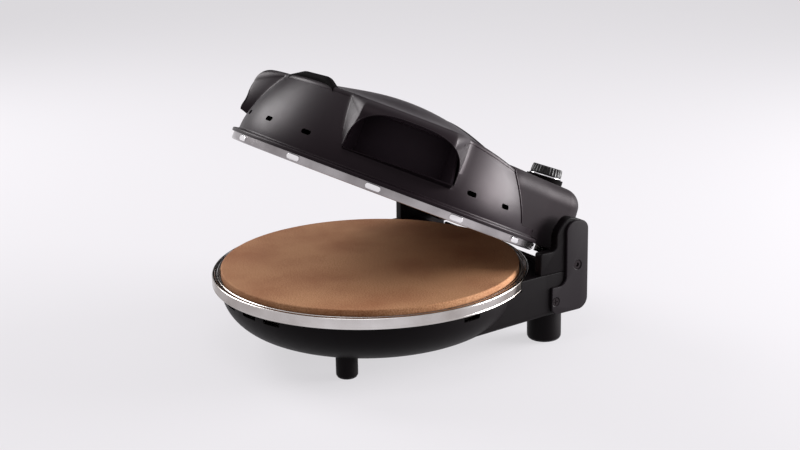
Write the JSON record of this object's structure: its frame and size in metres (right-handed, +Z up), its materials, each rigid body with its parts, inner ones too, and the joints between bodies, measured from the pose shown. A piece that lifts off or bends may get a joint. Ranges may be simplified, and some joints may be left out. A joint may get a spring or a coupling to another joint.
{
  "type": "countertop pizza oven",
  "caption": "Round countertop pizza oven: baking stone in a steel-rimmed base, domed lid with side hand hoods and its own element on a rear hinge, timer knob.",
  "frame": {"origin": "on the table, under the middle of the bounding box with the lid standing open as stored", "axes": "+Z up, -Y towards the front of the oven where the lid opens, +X to the right seen from the front"},
  "size_m": [0.3544, 0.3955, 0.3107],
  "materials": {
    "black_shell": "satin-gloss moulded",
    "charcoal_shell": "satin-gloss moulded",
    "black_grip": "fine texture",
    "rim_steel": "polished",
    "tray_aluminium": "stamped sheet",
    "shield_sheet": "stamped sheet",
    "stone": "matte fired ceramic",
    "element_steel": "heat-tinted",
    "clip_steel": "stamped",
    "plate_paint": "satin black",
    "screw_steel": "plain",
    "pad_rubber": "moulded",
    "ceramic": "matte fired ceramic",
    "bush_nylon": "moulded",
    "knob_black": "satin moulded",
    "knob_chrome": "plated",
    "timer_case": "zinc plated"
  },
  "bodies": {
    "base": {"base_housing": "black_shell", "base_rim": "rim_steel", "stone_tray": "tray_aluminium", "baking_stone": "stone", "lower_element": "element_steel", "lower_element_clips": "clip_steel", "heat_shield": "shield_sheet", "thermostat": "clip_steel", "thermal_fuse": "ceramic", "terminal_block": "ceramic", "cord_gland": "black_grip", "base_screws": "screw_steel", "front_foot_right": "black_shell", "front_foot_left": "black_shell", "rear_foot_right": "black_shell", "rear_foot_left": "black_shell", "foot_pads": "pad_rubber", "hinge_tower_right": "black_shell", "hinge_tower_left": "black_shell", "hinge_plate_right": "plate_paint", "hinge_plate_left": "plate_paint", "plate_screws": "screw_steel", "hinge_pin_right": "screw_steel", "hinge_pin_left": "screw_steel", "pin_clips": "screw_steel"},
    "lid": {"lid_shell": "charcoal_shell", "lid_rim": "rim_steel", "lid_rim_clips": "clip_steel", "upper_reflector": "tray_aluminium", "lid_heat_shield": "shield_sheet", "upper_element": "element_steel", "upper_element_clips": "clip_steel", "grip_well_right": "black_grip", "grip_well_left": "black_grip", "front_grip": "black_grip", "neck_cover": "charcoal_shell", "neck_base": "black_shell", "neck_trim": "rim_steel", "hinge_arm_right": "plate_paint", "hinge_arm_left": "plate_paint", "hinge_bushes": "bush_nylon", "dial_bezel": "black_grip", "timer_body": "timer_case"},
    "knob": {"timer_knob": "knob_black", "knob_ring": "knob_chrome", "timer_shaft": "screw_steel"}
  },
  "joints": [
    {"name": "lid_hinge", "type": "hinge", "parent": "base", "child": "lid", "pos_m": [0, 0.1542, 0.089], "axis": [-1, 0, 0], "range_deg": [-26.2, 58]},
    {"name": "timer_knob", "type": "hinge", "parent": "lid", "child": "knob", "pos_m": [0.058, 0.17696, 0.16696], "axis": [0, -0.3697, -0.9291], "range_deg": [0, 300]}
  ]
}
